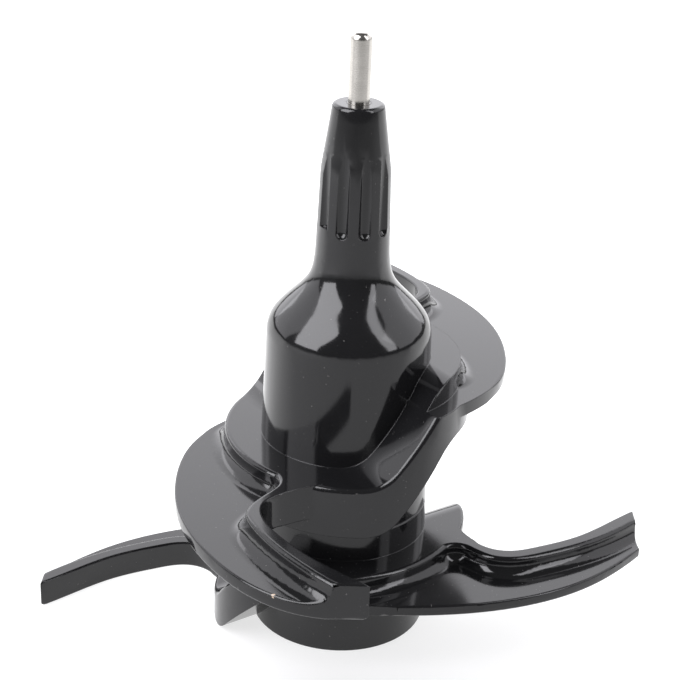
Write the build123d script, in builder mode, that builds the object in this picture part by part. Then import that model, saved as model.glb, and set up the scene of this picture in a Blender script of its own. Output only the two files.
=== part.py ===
import os
from math import cos, radians, sin

from build123d import *

os.makedirs("parts", exist_ok=True)

# Heights along the spindle axis, from the foot of the hub, in millimetres
SEAM_HEIGHT = 30.0
SHOULDER_HEIGHT = 70.0
FLARE_TOP_HEIGHT = 75.5
FLARE_FOOT_HEIGHT = 81.2
NECK_FOOT_HEIGHT = 90.0
NECK_CONE_HEIGHT = 106.5
NECK_TOP_HEIGHT = 120.8
PIN_FOOT_HEIGHT = 104.0
PIN_TOP_HEIGHT = 135.3

# Radii of the hub, the neck and the steel pin
FOOT_RADIUS = 20.0
BARREL_TOP_RADIUS = 18.0
FLARE_TOP_RADIUS = 15.6
FLARE_FOOT_RADIUS = 10.2
NECK_FOOT_RADIUS = 7.95
NECK_CONE_RADIUS = 7.45
NECK_TOP_RADIUS = 5.4
NECK_TOP_ROUND = 0.9
PIN_RADIUS = 2.25
PIN_SHANK_RADIUS = 2.6
PIN_END_ROUND = 1.5

# Hollow of the hub and the seat between the two mouldings
POST_BORE_RADIUS = 16.0
HOLLOW_TOP_HEIGHT = 64.0
HOLLOW_CONE_HEIGHT = 76.0
SOCKET_RADIUS = 5.0
SOCKET_TOP_HEIGHT = 98.0
SPIGOT_RADIUS = 17.6
SPIGOT_LENGTH = 8.0
SEAM_CHAMFER = 0.3

# Flutes of the neck
FLUTE_COUNT = 10
FLUTE_RADIUS = 1.5
FLUTE_CENTRE_RADIUS = 8.25
FLUTE_FOOT_HEIGHT = 95.0

# Ramp of the ledge and rounds of the crests, shared by both pairs
RAMP_ANGLE = -55.0
RAMP_HALF_RUN = 8.0
RAMP_ROUND = 9.0
CREST_ROUND = 1.0
LEDGE_INSET = 0.3
STEP_FILLET_SHARE = 0.9
STOCK_SHARE = 1.3

# Upper pair of paddles, with plan lines in shares of the sweep radius and the tip towards -Y
UPPER_LOW = 38.0
UPPER_RISE = 19.0
UPPER_RIDGE = 8.0
UPPER_PLATE = 3.0
UPPER_LEDGE_DROP = 3.5
UPPER_RAMP_LAG = 0.5
UPPER_LEDGE_RADII = (28.5, 26.2)
UPPER_PLATFORM_RADIUS = 24.7
UPPER_PLATFORM_CUT = 11.5
UPPER_BAY_ROUND = 4.5
UPPER_ROOT = 12.2
UPPER_SWEEP_RADIUS = 62.6
UPPER_OUTER = [
    (-0.297, 0.302), (-0.447, 0.16), (-0.532, 0.024), (-0.575, -0.224),
    (-0.553, -0.431), (-0.409, -0.746), (-0.16, -0.968),
]
UPPER_END = (-0.032, 0.101)
UPPER_INNER = [
    (-0.056, -0.877), (-0.188, -0.735), (-0.249, -0.623),
    (-0.252, -0.551), (-0.208, -0.489), (-0.08, -0.415),
]
UPPER_CREST = [
    (-0.176, -0.319), (-0.243, -0.463), (-0.307, -0.604), (-0.275, -0.692),
    (-0.166, -0.847), (-0.053, -0.965), (0.128, -1.11),
]

# Lower pair of arms, a quarter turn back from the upper pair, drawn in the same way
LOWER_TURN = -90.0
LOWER_LOW = 0.0
LOWER_RISE = 16.7
LOWER_RIDGE = 6.5
LOWER_PLATE = 2.5
LOWER_LEDGE_DROP = 0.0
LOWER_RAMP_LAG = 4.0
LOWER_LEDGE_RADII = (30.0, 25.5)
LOWER_BAY_ROUND = 4.0
LOWER_ROOT = 0.0
LOWER_SWEEP_RADIUS = 69.0
LOWER_OUTER = [
    (-0.29, 0.246), (-0.391, 0.13), (-0.432, -0.058), (-0.429, -0.232),
    (-0.362, -0.559), (-0.22, -0.816), (-0.113, -0.928),
]
LOWER_END = (-0.029, 0.12)
LOWER_INNER = [
    (0.055, -0.919), (-0.061, -0.783), (-0.141, -0.633), (-0.167, -0.557),
    (-0.162, -0.499), (-0.13, -0.449), (-0.043, -0.391),
]
LOWER_CREST = [
    (-0.116, -0.261), (-0.162, -0.413), (-0.214, -0.487), (-0.22, -0.561),
    (-0.188, -0.652), (-0.106, -0.806), (0.123, -1.058),
]


def barrel_radius(height):
    return FOOT_RADIUS + (BARREL_TOP_RADIUS - FOOT_RADIUS) * height / SHOULDER_HEIGHT


def inset(radii):
    return [radius - LEDGE_INSET for radius in radii]


def circle_point(radius, x):
    return (x, -((radius**2 - x**2) ** 0.5))


def ledge(low_top, low_bottom, rise, radii, lag):
    """A ring of ledge: low on one half of the hub, high on the other, with a ramp on each side."""
    reach = 2 * radii[0]
    ruling = Vector(cos(radians(RAMP_ANGLE)), sin(radians(RAMP_ANGLE)), 0)
    across = Vector(-ruling.Y, ruling.X, 0)
    with BuildPart() as ring:
        with BuildSketch(Plane(origin=(0, 0, 0), x_dir=across, z_dir=ruling)):
            with BuildLine():
                rims = []
                for height, shift in ((low_top, 0), (low_bottom, lag)):
                    rim = FilletPolyline(
                        (-reach, height),
                        (shift - RAMP_HALF_RUN, height),
                        (shift + RAMP_HALF_RUN, height + rise),
                        (reach, height + rise),
                        radius=RAMP_ROUND,
                    )
                    rims.append(rim)
                Line(rims[0] @ 0, rims[1] @ 0)
                Line(rims[0] @ 1, rims[1] @ 1)
            make_face()
        extrude(amount=reach, both=True)
        with BuildSketch(Plane.XY.offset(low_bottom)):
            Ellipse(radii[0], radii[1], rotation=RAMP_ANGLE)
        extrude(amount=low_top + rise - low_bottom, mode=Mode.INTERSECT)
        wall = ring.faces().sort_by(lambda face: abs(face.normal_at(face.center()).Z))[0]
        tops = ring.faces().filter_by(lambda face: face.normal_at(face.center()).Z > 0.1)
        fillet(wall.edges() & tops.edges(), radius=CREST_ROUND)
    return ring.part


def paddle(outer, end, inner, crest, radii, plate, ridge, sweep_radius, bay, root):
    """One paddle: a flat plate whose hollow side carries a ridge that flows out of the ledge."""
    half = STOCK_SHARE * sweep_radius
    far = 2 * half
    step = STEP_FILLET_SHARE * (ridge - plate - CREST_ROUND)

    def plan(points):
        return [(x * sweep_radius, y * sweep_radius) for x, y in points]

    def on_platform(corner):
        return min(radii) - 1 < Vector(corner.X, corner.Y).length < max(radii) + 1

    def within_stock(line):
        middle = line @ 0.5
        return max(abs(middle.X), abs(middle.Y)) < 0.99 * half

    with BuildPart() as blade:
        with BuildSketch():
            Rectangle(2 * half, 2 * half)
        extrude(amount=plate)
        with BuildSketch(Plane.XY.offset(plate)) as raised:
            with BuildLine():
                edge = Spline(*plan(crest))
                tail = edge @ 1 + (edge % 1) * far
                Polyline(edge @ 1, tail, (far, tail.Y), (far, far), (0, far), (0, 0), edge @ 0)
            make_face()
            Ellipse(radii[0], radii[1], rotation=RAMP_ANGLE)
            with Locations(Location((0, 0, 0), (0, 0, RAMP_ANGLE))):
                with Locations((0, -root)):
                    Rectangle(far, far, align=(Align.CENTER, Align.MIN), mode=Mode.SUBTRACT)
            fillet(raised.vertices().filter_by(on_platform), radius=bay)
            Rectangle(2 * half, 2 * half, mode=Mode.INTERSECT)
        extrude(amount=ridge - plate)
        for height, round_radius in ((plate, step), (ridge, CREST_ROUND)):
            lines = blade.edges().filter_by_position(Axis.Z, height, height)
            fillet(lines.filter_by(within_stock), radius=round_radius)
        with BuildSketch():
            with BuildLine():
                start = circle_point(sweep_radius, end[0] * sweep_radius)
                corner = circle_point(sweep_radius, end[1] * sweep_radius)
                rim = Spline(*plan(outer), start)
                RadiusArc(start, corner, sweep_radius)
                hollow = Spline(corner, *plan(inner))
                Polyline(hollow @ 1, (0, 0), rim @ 0)
            make_face()
        extrude(amount=ridge, mode=Mode.INTERSECT)
    return blade.part


upper_ledge = ledge(
    UPPER_LOW + UPPER_RIDGE, UPPER_LOW - UPPER_LEDGE_DROP, UPPER_RISE, UPPER_LEDGE_RADII, UPPER_RAMP_LAG
)
upper_low_paddle, upper_high_paddle = [
    paddle(
        UPPER_OUTER, UPPER_END, UPPER_INNER, UPPER_CREST, radii,
        UPPER_PLATE, UPPER_RIDGE, UPPER_SWEEP_RADIUS, UPPER_BAY_ROUND, UPPER_ROOT,
    )
    for radii in (inset(UPPER_LEDGE_RADII), (UPPER_PLATFORM_RADIUS, UPPER_PLATFORM_RADIUS))
]
lower_ledge = ledge(
    LOWER_LOW + LOWER_RIDGE, LOWER_LOW - LOWER_LEDGE_DROP, LOWER_RISE, LOWER_LEDGE_RADII, LOWER_RAMP_LAG
)
lower_paddle = paddle(
    LOWER_OUTER, LOWER_END, LOWER_INNER, LOWER_CREST, inset(LOWER_LEDGE_RADII),
    LOWER_PLATE, LOWER_RIDGE, LOWER_SWEEP_RADIUS, LOWER_BAY_ROUND, LOWER_ROOT,
)

# Upper moulding: barrel, fluted neck and the upper pair of paddles
with BuildPart() as upper_blade:
    with BuildSketch(Plane.XZ):
        with BuildLine():
            wall = Line((barrel_radius(SEAM_HEIGHT), SEAM_HEIGHT), (BARREL_TOP_RADIUS, SHOULDER_HEIGHT))
            Spline(
                wall @ 1,
                (FLARE_TOP_RADIUS, FLARE_TOP_HEIGHT),
                (FLARE_FOOT_RADIUS, FLARE_FOOT_HEIGHT),
                (NECK_FOOT_RADIUS, NECK_FOOT_HEIGHT),
                tangents=[
                    wall % 1,
                    (NECK_CONE_RADIUS - NECK_FOOT_RADIUS, NECK_CONE_HEIGHT - NECK_FOOT_HEIGHT),
                ],
            )
            Polyline(
                (NECK_FOOT_RADIUS, NECK_FOOT_HEIGHT),
                (NECK_CONE_RADIUS, NECK_CONE_HEIGHT),
                (NECK_TOP_RADIUS, NECK_TOP_HEIGHT),
                (0, NECK_TOP_HEIGHT),
                (0, SEAM_HEIGHT),
                wall @ 0,
            )
        make_face()
    revolve(axis=Axis.Z)
    fillet(upper_blade.edges().sort_by(Axis.Z)[-1], radius=NECK_TOP_ROUND)
    chamfer(upper_blade.edges().sort_by(Axis.Z)[0], length=SEAM_CHAMFER)
    with PolarLocations(FLUTE_CENTRE_RADIUS, FLUTE_COUNT, start_angle=180 / FLUTE_COUNT - 90):
        with Locations((0, 0, FLUTE_FOOT_HEIGHT)):
            Cylinder(
                FLUTE_RADIUS, NECK_TOP_HEIGHT - FLUTE_FOOT_HEIGHT + 1,
                align=(Align.CENTER, Align.CENTER, Align.MIN), mode=Mode.SUBTRACT,
            )
            Sphere(FLUTE_RADIUS, mode=Mode.SUBTRACT)
    add(upper_ledge)
    with BuildSketch(Plane.XY.offset(UPPER_LOW + UPPER_RISE + UPPER_PLATE)):
        with Locations((UPPER_PLATFORM_CUT, 0)):
            Rectangle(UPPER_SWEEP_RADIUS, 2 * UPPER_SWEEP_RADIUS, align=(Align.MIN, Align.CENTER))
        Circle(UPPER_PLATFORM_RADIUS, mode=Mode.SUBTRACT)
    extrude(amount=UPPER_RIDGE, mode=Mode.SUBTRACT)
    with Locations((0, 0, UPPER_LOW)):
        add(upper_low_paddle)
    with Locations(Location((0, 0, UPPER_LOW + UPPER_RISE), (0, 0, 180))):
        add(upper_high_paddle)
    with Locations((0, 0, SEAM_HEIGHT)):
        Cylinder(SPIGOT_RADIUS, SPIGOT_LENGTH, align=(Align.CENTER, Align.CENTER, Align.MAX))
    with BuildSketch(Plane.XZ):
        with BuildLine():
            Polyline(
                (0, SEAM_HEIGHT - SPIGOT_LENGTH),
                (POST_BORE_RADIUS, SEAM_HEIGHT - SPIGOT_LENGTH),
                (POST_BORE_RADIUS, HOLLOW_TOP_HEIGHT),
                (SOCKET_RADIUS, HOLLOW_CONE_HEIGHT),
                (SOCKET_RADIUS, SOCKET_TOP_HEIGHT),
                (0, SOCKET_TOP_HEIGHT),
                close=True,
            )
        make_face()
    revolve(axis=Axis.Z, mode=Mode.SUBTRACT)
    with Locations((0, 0, PIN_FOOT_HEIGHT)):
        Cylinder(
            PIN_SHANK_RADIUS, NECK_TOP_HEIGHT - PIN_FOOT_HEIGHT,
            align=(Align.CENTER, Align.CENTER, Align.MIN), mode=Mode.SUBTRACT,
        )
upper_blade.part.label = "upper_blade"
export_step(upper_blade.part, "parts/upper_blade.step")

# Lower moulding: foot of the hub and the lower pair of arms
with BuildPart() as lower_blade:
    with BuildSketch(Plane.XZ):
        with BuildLine():
            Polyline(
                (0, 0),
                (FOOT_RADIUS, 0),
                (barrel_radius(SEAM_HEIGHT), SEAM_HEIGHT),
                (0, SEAM_HEIGHT),
                close=True,
            )
        make_face()
    revolve(axis=Axis.Z)
    chamfer(lower_blade.edges().sort_by(Axis.Z)[-1], length=SEAM_CHAMFER)
    with Locations(Location((0, 0, 0), (0, 0, LOWER_TURN))):
        add(lower_ledge)
    with Locations(Location((0, 0, LOWER_LOW), (0, 0, LOWER_TURN))):
        add(lower_paddle)
    with Locations(Location((0, 0, LOWER_LOW + LOWER_RISE), (0, 0, LOWER_TURN + 180))):
        add(lower_paddle)
    Cylinder(
        POST_BORE_RADIUS, SEAM_HEIGHT, align=(Align.CENTER, Align.CENTER, Align.MIN), mode=Mode.SUBTRACT
    )
    with Locations((0, 0, SEAM_HEIGHT)):
        Cylinder(
            SPIGOT_RADIUS, SPIGOT_LENGTH, align=(Align.CENTER, Align.CENTER, Align.MAX), mode=Mode.SUBTRACT
        )
lower_blade.part.label = "lower_blade"
export_step(lower_blade.part, "parts/lower_blade.step")

# Steel pin with a thicker shank, held in the top of the neck
with BuildPart() as top_pin:
    with Locations((0, 0, PIN_FOOT_HEIGHT)):
        Cylinder(PIN_RADIUS, PIN_TOP_HEIGHT - PIN_FOOT_HEIGHT, align=(Align.CENTER, Align.CENTER, Align.MIN))
    fillet(top_pin.edges().sort_by(Axis.Z)[-1], radius=PIN_END_ROUND)
    with Locations((0, 0, PIN_FOOT_HEIGHT)):
        Cylinder(
            PIN_SHANK_RADIUS, NECK_TOP_HEIGHT - PIN_FOOT_HEIGHT,
            align=(Align.CENTER, Align.CENTER, Align.MIN),
        )
top_pin.part.label = "top_pin"
export_step(top_pin.part, "parts/top_pin.step")
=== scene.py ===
# %% [markdown]
# # A dough blade in glossy black plastic
# The blade of a food processor that kneads dough: a hollow hub with a fluted neck, a steel pin
# on top, and curved paddles that leave the hub at four heights. The solids come from the CAD
# frame in metres, and this lesson gives them smooth skins, finishes, light and a camera.

# %% Load the frame
from math import cos, pi, radians, sin

import bpy
from mathutils import Matrix, Vector


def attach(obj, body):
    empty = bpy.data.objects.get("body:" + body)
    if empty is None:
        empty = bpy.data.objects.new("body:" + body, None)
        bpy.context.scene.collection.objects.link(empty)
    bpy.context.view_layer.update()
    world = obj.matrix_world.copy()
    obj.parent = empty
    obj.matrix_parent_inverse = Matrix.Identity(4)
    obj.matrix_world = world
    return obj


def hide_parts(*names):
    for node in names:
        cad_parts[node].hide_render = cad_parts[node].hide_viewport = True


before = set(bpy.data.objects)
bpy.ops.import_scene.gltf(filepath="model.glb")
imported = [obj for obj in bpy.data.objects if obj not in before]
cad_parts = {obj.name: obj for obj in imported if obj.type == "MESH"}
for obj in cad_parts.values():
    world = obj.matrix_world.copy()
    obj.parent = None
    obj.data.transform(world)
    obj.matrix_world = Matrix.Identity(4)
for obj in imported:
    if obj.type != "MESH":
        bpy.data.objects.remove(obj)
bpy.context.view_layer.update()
MM = 0.001
print("nodes:", sorted(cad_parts))

# %% [markdown]
# ## Skins for the three pieces
# Polished mould steel leaves long clean reflections on the real plastic. The CAD nodes arrive as
# loose triangles, which would break those reflections into facets. So each node is duplicated,
# its doubles are merged and its flat faces are joined. Sculpting or remeshing would be other ways
# to a smooth skin, but they would move the faces.

# %% A helper that skins one node
WELD = 0.002 * MM
FLAT_ANGLE = radians(0.3)


def pick(thing):
    """Selects one object alone and makes it active."""
    bpy.ops.object.select_all(action="DESELECT")
    thing.select_set(True)
    bpy.context.view_layer.objects.active = thing


def skin(node, name):
    """A merged copy of a CAD node that stands for it."""
    pick(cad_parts[node])
    bpy.ops.object.duplicate()
    piece = bpy.context.view_layer.objects.active
    piece.name = name
    bpy.ops.object.mode_set(mode="EDIT")
    bpy.ops.mesh.select_all(action="SELECT")
    bpy.ops.mesh.customdata_custom_splitnormals_clear()
    bpy.ops.mesh.remove_doubles(threshold=WELD)
    bpy.ops.mesh.dissolve_limited(angle_limit=FLAT_ANGLE)
    bpy.ops.object.mode_set(mode="OBJECT")
    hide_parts(node)
    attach(piece, "root")
    print(name, "has", len(piece.data.polygons), "faces")
    return piece


# %% Skin the three pieces
upper_moulding = skin("upper_blade", "upper_moulding")
lower_moulding = skin("lower_blade", "lower_moulding")
lid_pin = skin("top_pin", "lid_pin")

# %% [markdown]
# ## Rounded paddle edges
# No edge of a moulding is knife sharp: the free edges of the paddles are rounded by about half a
# millimetre, and each round catches a thin line of light. A Bevel modifier makes them. It works by
# weight, and only edges that are sharp and lie clear of the hub get one, because the bevel breaks
# up where the paddles run into the ledge. At the tips the upright corners carry the full weight,
# the lower edge a share of it, and all other edges a smaller share.

# %% Find the tips of a pair of paddles
TIP_BAND = 0.05 * MM


def find_tips(points):
    """The radius that a pair of paddles sweeps, and the lowest level of each tip."""
    sweep = max(point.co.xy.length for point in points)
    tips = [point.co for point in points if point.co.xy.length > sweep - TIP_BAND]
    near = min(tip.z for tip in tips if tip.xy.dot(tips[0].xy) > 0)
    far = min(tip.z for tip in tips if tip.xy.dot(tips[0].xy) < 0)
    print("tips at radius", round(sweep / MM, 1), "mm")
    return sweep, (near, far)


# %% Weigh the edges
ROUNDED_ANGLE = radians(52)
HUB_REACH = 31.5 * MM
BENEATH_SHARE = 0.5
EDGE_SHARE = 0.19


def edge_weight(first, second, sweep, undersides):
    """The share of the largest round that a sharp edge gets."""
    if min(first.xy.length, second.xy.length) <= sweep - TIP_BAND:
        return EDGE_SHARE
    if (first - second).xy.length < WELD:
        return 1.0
    beneath = any(abs(first.z - low) + abs(second.z - low) < TIP_BAND for low in undersides)
    return BENEATH_SHARE if beneath else EDGE_SHARE


def weigh_edges(piece):
    """Writes a bevel weight on the sharp edges that lie clear of the hub."""
    pick(piece)
    bpy.ops.object.mode_set(mode="EDIT")
    bpy.ops.mesh.select_mode(type="EDGE")
    bpy.ops.mesh.select_all(action="DESELECT")
    bpy.ops.mesh.edges_select_sharp(sharpness=ROUNDED_ANGLE)
    bpy.ops.object.mode_set(mode="OBJECT")
    points = piece.data.vertices
    sweep, undersides = find_tips(points)
    weights = piece.data.attributes.new("bevel_weight_edge", "FLOAT", "EDGE")
    count = 0
    for edge in piece.data.edges:
        first, second = (points[end].co for end in edge.vertices)
        if edge.select and min(first.xy.length, second.xy.length) > HUB_REACH:
            weights.data[edge.index].value = edge_weight(first, second, sweep, undersides)
            count += 1
    print(piece.name, "has", count, "edges to round")


for piece in (upper_moulding, lower_moulding):
    weigh_edges(piece)

# %% Bevel the weighed edges
TIP_ROUND = 2.4 * MM
ROUND_SEGMENTS = 4


def round_paddle_edges(piece):
    """Bevels the weighed edges and merges what falls together."""
    pick(piece)
    rounding = piece.modifiers.new("rounded_edges", "BEVEL")
    rounding.width = TIP_ROUND
    rounding.segments = ROUND_SEGMENTS
    rounding.limit_method = "WEIGHT"
    rounding.use_clamp_overlap = False
    bpy.ops.object.modifier_apply(modifier=rounding.name)
    bpy.ops.object.mode_set(mode="EDIT")
    bpy.ops.mesh.select_all(action="SELECT")
    bpy.ops.mesh.remove_doubles(threshold=WELD)
    bpy.ops.mesh.dissolve_degenerate(threshold=WELD)
    bpy.ops.object.mode_set(mode="OBJECT")
    print(piece.name, "now has", len(piece.data.polygons), "faces")


for piece in (upper_moulding, lower_moulding):
    round_paddle_edges(piece)

# %% [markdown]
# ## Smooth shading with true flats
# Each piece is shaded smooth up to an angle. A Weighted Normal modifier then keeps level flats
# truly flat beside their fillets: they are marked as strong faces, and where a strong face meets
# others, its normal is the one that counts.

# %% Shade the pieces
SHARP_ANGLE = radians(32)
LEVEL = 0.99999
LEAST_FLAT = 4.0 * MM * MM


def shade(piece):
    """Smooth shading up to an angle, with level flats that keep their own normal."""
    pick(piece)
    bpy.ops.object.shade_smooth_by_angle(angle=SHARP_ANGLE)
    bpy.ops.object.mode_set(mode="EDIT")
    bpy.ops.mesh.select_mode(type="FACE")
    bpy.ops.mesh.select_all(action="DESELECT")
    bpy.ops.object.mode_set(mode="OBJECT")
    for face in piece.data.polygons:
        face.select = abs(face.normal.z) > LEVEL and face.area > LEAST_FLAT
    count = sum(face.select for face in piece.data.polygons)
    bpy.ops.object.mode_set(mode="EDIT")
    bpy.ops.mesh.mod_weighted_strength(set=True, face_strength="STRONG")
    bpy.ops.object.mode_set(mode="OBJECT")
    flats = piece.modifiers.new("true_flats", "WEIGHTED_NORMAL")
    flats.mode = "CORNER_ANGLE"
    flats.use_face_influence = True
    flats.keep_sharp = True
    bpy.ops.object.modifier_apply(modifier=flats.name)
    print(piece.name, "is smooth with", count, "level flats")


for piece in (upper_moulding, lower_moulding, lid_pin):
    shade(piece)

# %% [markdown]
# ## A small kit for materials
# Every finish below is a few nodes on Object coordinates, in metres, so a pattern stays where it
# is when the object turns. These helpers keep each material short enough to read in one look.

# %% Helpers for node materials
def new_material(name):
    """A node material with its shader and its coordinates."""
    material = bpy.data.materials.new(name)
    material.use_nodes = True
    nodes = material.node_tree.nodes
    shader = nodes["Principled BSDF"]
    place = nodes.new("ShaderNodeTexCoord")
    return material, nodes, shader, place


def join(material, start, end):
    """Links an output socket to an input socket."""
    material.node_tree.links.new(start, end)


def noise(material, place, size, detail, stretch=(1, 1, 1)):
    """A noise whose grains are about that size in millimetres."""
    nodes = material.node_tree.nodes
    turn = nodes.new("ShaderNodeMapping")
    turn.inputs["Scale"].default_value = stretch
    grain = nodes.new("ShaderNodeTexNoise")
    grain.inputs["Scale"].default_value = 1 / (size * MM)
    grain.inputs["Detail"].default_value = detail
    join(material, place.outputs["Object"], turn.inputs["Vector"])
    join(material, turn.outputs["Vector"], grain.inputs["Vector"])
    return grain.outputs["Fac"]


def ramp(material, value, given, wanted):
    """Maps a value from one range to another and holds the ends."""
    band = material.node_tree.nodes.new("ShaderNodeMapRange")
    band.inputs["From Min"].default_value, band.inputs["From Max"].default_value = given
    band.inputs["To Min"].default_value, band.inputs["To Max"].default_value = wanted
    join(material, value, band.inputs["Value"])
    return band.outputs["Result"]


# %% Helpers for colour and relief
def blend_colour(material, amount, first, second):
    """A colour that goes from one to another by an amount."""
    mix = material.node_tree.nodes.new("ShaderNodeMix")
    mix.data_type = "RGBA"
    for socket, colour in (("A_Color", first), ("B_Color", second)):
        target = next(item for item in mix.inputs if item.identifier == socket)
        if isinstance(colour, bpy.types.NodeSocket):
            join(material, colour, target)
        else:
            target.default_value = (*colour, 1)
    factor = next(item for item in mix.inputs if item.identifier == "Factor_Float")
    join(material, amount, factor)
    return next(item for item in mix.outputs if item.identifier == "Result_Color")


def bump(material, height, depth, strength, under=None):
    """A bump of that depth in millimetres over another normal."""
    node = material.node_tree.nodes.new("ShaderNodeBump")
    node.inputs["Distance"].default_value = depth * MM
    node.inputs["Strength"].default_value = strength
    join(material, height, node.inputs["Height"])
    if under is not None:
        join(material, under, node.inputs["Normal"])
    return node.outputs["Normal"]


# Most values of a noise lie in this span
NOISE_SPAN = (0.3, 0.7)
print("material kit ready")

# %% [markdown]
# ## Glossy black plastic
# The blade is moulded in glossy black plastic. It mirrors its surroundings softly, its skin waves
# a little where it shrank in the mould, and fine dust lies on it. The edges near the hub are
# slightly round too, which the Bevel node gives to the shading alone. One small pale nick shows
# on the rim of the front paddle.

# %% The plastic's values
PLASTIC_DARK = (0.006, 0.006, 0.0065)
PLASTIC_LIGHT = (0.010, 0.010, 0.0108)
PLASTIC_ROUGHNESS = (0.07, 0.13)
PLASTIC_IOR = 1.5
EDGE_RADIUS = 0.35 * MM
EDGE_SAMPLES = 6
# Sizes of noise and depths of relief are in millimetres
FLOW_SIZE, FLOW_DETAIL = 14.0, 3.0
WAVE_SIZE, WAVE_DETAIL, WAVE_DEPTH = 16.0, 0.0, 0.03
FINE_SIZE, FINE_DETAIL, FINE_DEPTH = 0.7, 2.0, 0.002
RELIEF_STRENGTH = 0.2
print("roughness", PLASTIC_ROUGHNESS)

# %% The values of its dust and its nick
DUST_COLOUR = (0.16, 0.155, 0.15)
DUST_SIZE, DUST_DETAIL = 0.5, 1.0
DUST_SPAN, DUST_COVER = (0.755, 0.79), (0.0, 0.6)
NICK_COLOUR = (0.46, 0.36, 0.27)
NICK_PLACE = Vector((-12.0, -59.3, 40.9)) * MM
NICK_RADIUS = 0.75 * MM
NICK_CORE = 0.8 * NICK_RADIUS
CHIP_SIZE, CHIP_DETAIL = 0.6, 2.0
print("nick radius", NICK_RADIUS / MM, "mm")


# %% Build the plastic
def nick_mask(material, nodes, place):
    """One inside the nick and zero outside it, with a ragged border."""
    away = nodes.new("ShaderNodeVectorMath")
    away.operation = "DISTANCE"
    away.inputs[1].default_value = NICK_PLACE
    join(material, place.outputs["Object"], away.inputs[0])
    chips = noise(material, place, CHIP_SIZE, CHIP_DETAIL)
    ragged = nodes.new("ShaderNodeMath")
    ragged.operation = "ADD"
    join(material, away.outputs["Value"], ragged.inputs[0])
    join(material, ramp(material, chips, NOISE_SPAN, (0.0, NICK_RADIUS)), ragged.inputs[1])
    return ramp(material, ragged.outputs["Value"], (NICK_CORE, NICK_RADIUS), (1.0, 0.0))


def black_plastic():
    """Black plastic with dust, a nick, shrink waves and a fine skin."""
    material, nodes, shader, place = new_material("black_plastic")
    flow = noise(material, place, FLOW_SIZE, FLOW_DETAIL)
    specks = noise(material, place, DUST_SIZE, DUST_DETAIL)
    dust = ramp(material, specks, DUST_SPAN, DUST_COVER)
    nick = nick_mask(material, nodes, place)
    resin = blend_colour(material, flow, PLASTIC_DARK, PLASTIC_LIGHT)
    dusty = blend_colour(material, dust, resin, DUST_COLOUR)
    nicked = blend_colour(material, nick, dusty, NICK_COLOUR)
    join(material, nicked, shader.inputs["Base Color"])
    gloss = ramp(material, flow, NOISE_SPAN, PLASTIC_ROUGHNESS)
    join(material, gloss, shader.inputs["Roughness"])

    edge = nodes.new("ShaderNodeBevel")
    edge.samples = EDGE_SAMPLES
    edge.inputs["Radius"].default_value = EDGE_RADIUS
    waves = noise(material, place, WAVE_SIZE, WAVE_DETAIL)
    wavy = bump(material, waves, WAVE_DEPTH, RELIEF_STRENGTH, edge.outputs["Normal"])
    pores = noise(material, place, FINE_SIZE, FINE_DETAIL)
    fine = bump(material, pores, FINE_DEPTH, RELIEF_STRENGTH, wavy)
    join(material, fine, shader.inputs["Normal"])
    shader.inputs["IOR"].default_value = PLASTIC_IOR
    return material


plastic = black_plastic()
print("plastic nodes:", len(plastic.node_tree.nodes))

# %% [markdown]
# ## Ground steel
# The pin turns in the lid, so it is ground round and polished. Grinding leaves fine rings, which
# are a noise squeezed along the pin's axis, felt in the roughness and as a very shallow bump. The
# thicker shank ends flush with the neck, and a film of the black plastic covers its end.

# %% The steel's values
STEEL_DARK = (0.39, 0.375, 0.35)
STEEL_LIGHT = (0.56, 0.54, 0.505)
STEEL_ROUGHNESS = (0.18, 0.30)
STAIN_SIZE, STAIN_DETAIL = 3.0, 2.0
RING_SIZE, RING_DETAIL, RING_DEPTH = 0.16, 3.0, 0.004
RING_STRETCH = (0.06, 0.06, 1.0)
RING_STRENGTH = 0.3
FREE_RADIUS = 2.29 * MM
FILM_START = FREE_RADIUS + 0.02 * MM
print("film starts at radius", round(FILM_START / MM, 2), "mm")


# %% Build the steel
def ground_steel():
    """Polished steel with grinding rings, and a black film beyond the free pin."""
    material, nodes, shader, place = new_material("ground_steel")
    rings = noise(material, place, RING_SIZE, RING_DETAIL, RING_STRETCH)
    stain = noise(material, place, STAIN_SIZE, STAIN_DETAIL)
    across = nodes.new("ShaderNodeVectorMath")
    across.operation = "MULTIPLY"
    across.inputs[1].default_value = (1, 1, 0)
    from_axis = nodes.new("ShaderNodeVectorMath")
    from_axis.operation = "LENGTH"
    join(material, place.outputs["Object"], across.inputs[0])
    join(material, across.outputs["Vector"], from_axis.inputs[0])
    film = ramp(material, from_axis.outputs["Value"], (FREE_RADIUS, FILM_START), (0.0, 1.0))
    bright = blend_colour(material, stain, STEEL_DARK, STEEL_LIGHT)
    filmed = blend_colour(material, film, bright, PLASTIC_LIGHT)
    join(material, filmed, shader.inputs["Base Color"])
    polish = ramp(material, rings, NOISE_SPAN, STEEL_ROUGHNESS)
    join(material, polish, shader.inputs["Roughness"])
    join(material, bump(material, rings, RING_DEPTH, RING_STRENGTH), shader.inputs["Normal"])
    shader.inputs["Metallic"].default_value = 1.0
    return material


steel = ground_steel()
print("steel nodes:", len(steel.node_tree.nodes))

# %% [markdown]
# ## Finishes
# Both mouldings share the one plastic, and the pin alone is steel.

# %% Give the pieces their finishes
for piece, finish in ((upper_moulding, plastic), (lower_moulding, plastic), (lid_pin, steel)):
    piece.data.materials.clear()
    piece.data.materials.append(finish)
    print(piece.name, "is", finish.name)

# %% [markdown]
# ## Floor and light
# Black gloss shows little of its own colour: what is seen is the room. A wide bright panel behind
# the blade gives its upward faces their grey, two dimmer ones carry it round to the hollow sides
# of the ridges, and the pale floor gives the upright walls a faint fill. Two softboxes above, one
# to each side, make the highlights of the shoulder and light the floor. The floor is a light
# table that glows a little, more behind the blade than before it, which keeps its shadows pale
# and brightens the sides of the hub.

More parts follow.
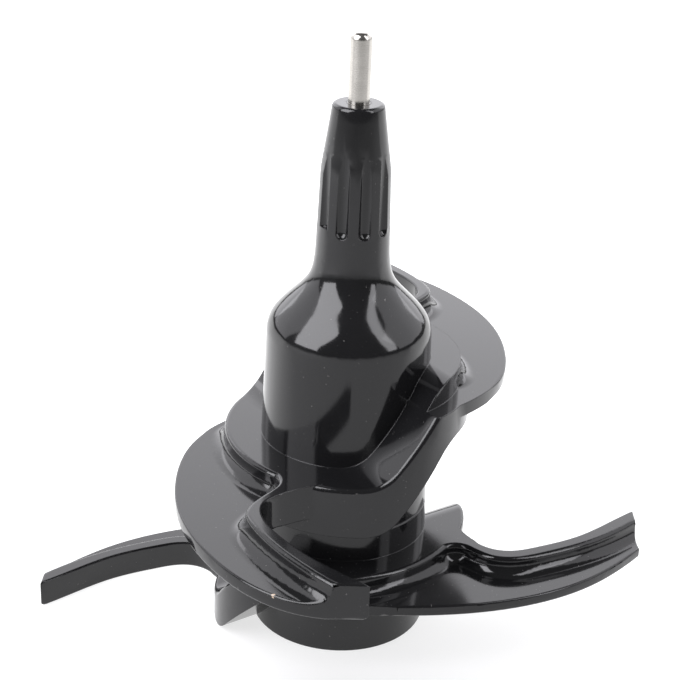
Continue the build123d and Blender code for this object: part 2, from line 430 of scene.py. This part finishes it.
# %% The floor's paper
PAPER_DARK = (0.34, 0.34, 0.34)
PAPER_LIGHT = (0.36, 0.36, 0.36)
PAPER_SIZE, PAPER_DETAIL = 40.0, 3.0
PAPER_ROUGHNESS = 0.9
GLOW_COLOUR = (1, 1, 1, 1)
GLOW_SPAN = (-50 * MM, 60 * MM)
FRONT_GLOW, REAR_GLOW = 0.45, 1.25


def pale_paper():
    """Matt paper that glows more behind the blade than before it."""
    material, nodes, shader, place = new_material("pale_paper")
    grain = noise(material, place, PAPER_SIZE, PAPER_DETAIL)
    tone = blend_colour(material, grain, PAPER_DARK, PAPER_LIGHT)
    join(material, tone, shader.inputs["Base Color"])
    shader.inputs["Roughness"].default_value = PAPER_ROUGHNESS
    shader.inputs["Emission Color"].default_value = GLOW_COLOUR
    depth = nodes.new("ShaderNodeSeparateXYZ")
    join(material, place.outputs["Object"], depth.inputs["Vector"])
    glow = ramp(material, depth.outputs["Y"], GLOW_SPAN, (FRONT_GLOW, REAR_GLOW))
    join(material, glow, shader.inputs["Emission Strength"])
    return material


paper = pale_paper()
print("paper nodes:", len(paper.node_tree.nodes))

# %% Floor
FLOOR_SIZE = 30.0
bpy.ops.object.select_all(action="DESELECT")
bpy.ops.mesh.primitive_plane_add(size=FLOOR_SIZE, location=(0, 0, 0))
floor = bpy.context.object
floor.name = "pale_floor"
floor.data.materials.append(paper)
print("floor is", FLOOR_SIZE, "m wide")

# %% Softboxes
AIM = Vector((0, 0, 60)) * MM
# Azimuth from the front and elevation in degrees, distance, width and height in metres, radiance
LIGHTS = {
    "left_softbox": (-60, 38, 0.9, (0.64, 0.95), 6.8),
    "right_softbox": (62, 38, 0.9, (0.20, 0.95), 5.0),
    "back_panel": (180, 26, 1.6, (3.20, 1.30), 2.35),
    "left_panel": (-114, 27, 1.6, (1.30, 1.30), 1.7),
    "right_panel": (104, 30, 1.6, (2.00, 1.30), 1.6),
}
LIGHT_COLOUR = (0.965, 0.96, 1.0)


def softbox(name, azimuth, elevation, distance, size, radiance):
    """A rectangular area light that faces the blade and is equally bright all over."""
    turn, rise = radians(azimuth), radians(elevation)
    toward = Vector((sin(turn) * cos(rise), -cos(turn) * cos(rise), sin(rise)))
    bpy.ops.object.light_add(type="AREA", location=AIM + distance * toward)
    lamp = bpy.context.object
    lamp.name = name
    lamp.data.shape = "RECTANGLE"
    lamp.data.size, lamp.data.size_y = size
    lamp.data.energy = radiance * pi * size[0] * size[1]
    lamp.data.color = LIGHT_COLOUR
    lamp.rotation_euler = (-toward).to_track_quat("-Z", "Y").to_euler()
    print(name, round(lamp.data.energy, 1), "W")


for name, values in LIGHTS.items():
    softbox(name, *values)

# %% [markdown]
# ## World and tones
# The world is nearly dark, because a studio is dark behind the photographer. Plain tones, without
# a film curve, keep the floor white and the plastic black.

# %% Dim world and plain tones
WORLD_COLOUR = (1, 1, 1, 1)
WORLD_LIGHT = 0.12
world = bpy.data.worlds.new("studio")
world.use_nodes = True
background = world.node_tree.nodes["Background"]
background.inputs["Color"].default_value = WORLD_COLOUR
background.inputs["Strength"].default_value = WORLD_LIGHT
bpy.context.scene.world = world
bpy.context.scene.view_settings.view_transform = "Standard"
print("world light", WORLD_LIGHT)

# %% [markdown]
# ## Camera
# The camera was solved from the photograph: the round foot of the hub and the column's outline fix
# its height, its distance, its slight roll and its focal length. It is written as a place, three
# turns in radians and a lens. The focal length was solved in pixels of the square photograph, so
# its share of the picture's width gives the lens.

# %% The camera's values
CAMERA_PLACE = Vector((0.0, -298.5, 204.0)) * MM
CAMERA_PAN = -0.0062
CAMERA_TILT = 0.4288
CAMERA_ROLL = 0.0412
SENSOR = 36.0
FOCAL_PIXELS, PHOTO_PIXELS = 1504.9, 680
FOCAL_SHARE = FOCAL_PIXELS / PHOTO_PIXELS
print("focal length is", round(FOCAL_SHARE, 3), "of the picture's width")

# %% Camera
bpy.ops.object.camera_add(location=CAMERA_PLACE)
camera = bpy.context.object
camera.name = "photo_camera"
heading = Vector((sin(CAMERA_PAN), cos(CAMERA_PAN), 0))
ahead = cos(CAMERA_TILT) * heading - sin(CAMERA_TILT) * Vector((0, 0, 1))
level = Vector((cos(CAMERA_PAN), -sin(CAMERA_PAN), 0))
upright = level.cross(ahead)
right = cos(CAMERA_ROLL) * level + sin(CAMERA_ROLL) * upright
up = cos(CAMERA_ROLL) * upright - sin(CAMERA_ROLL) * level
facing = Matrix((right, up, -ahead)).transposed().to_4x4()
camera.matrix_world = Matrix.Translation(CAMERA_PLACE) @ facing
camera.data.sensor_width = SENSOR
camera.data.lens = SENSOR * FOCAL_SHARE
camera.data.dof.use_dof = False
bpy.context.scene.camera = camera
print("lens", round(camera.data.lens, 2), "mm")
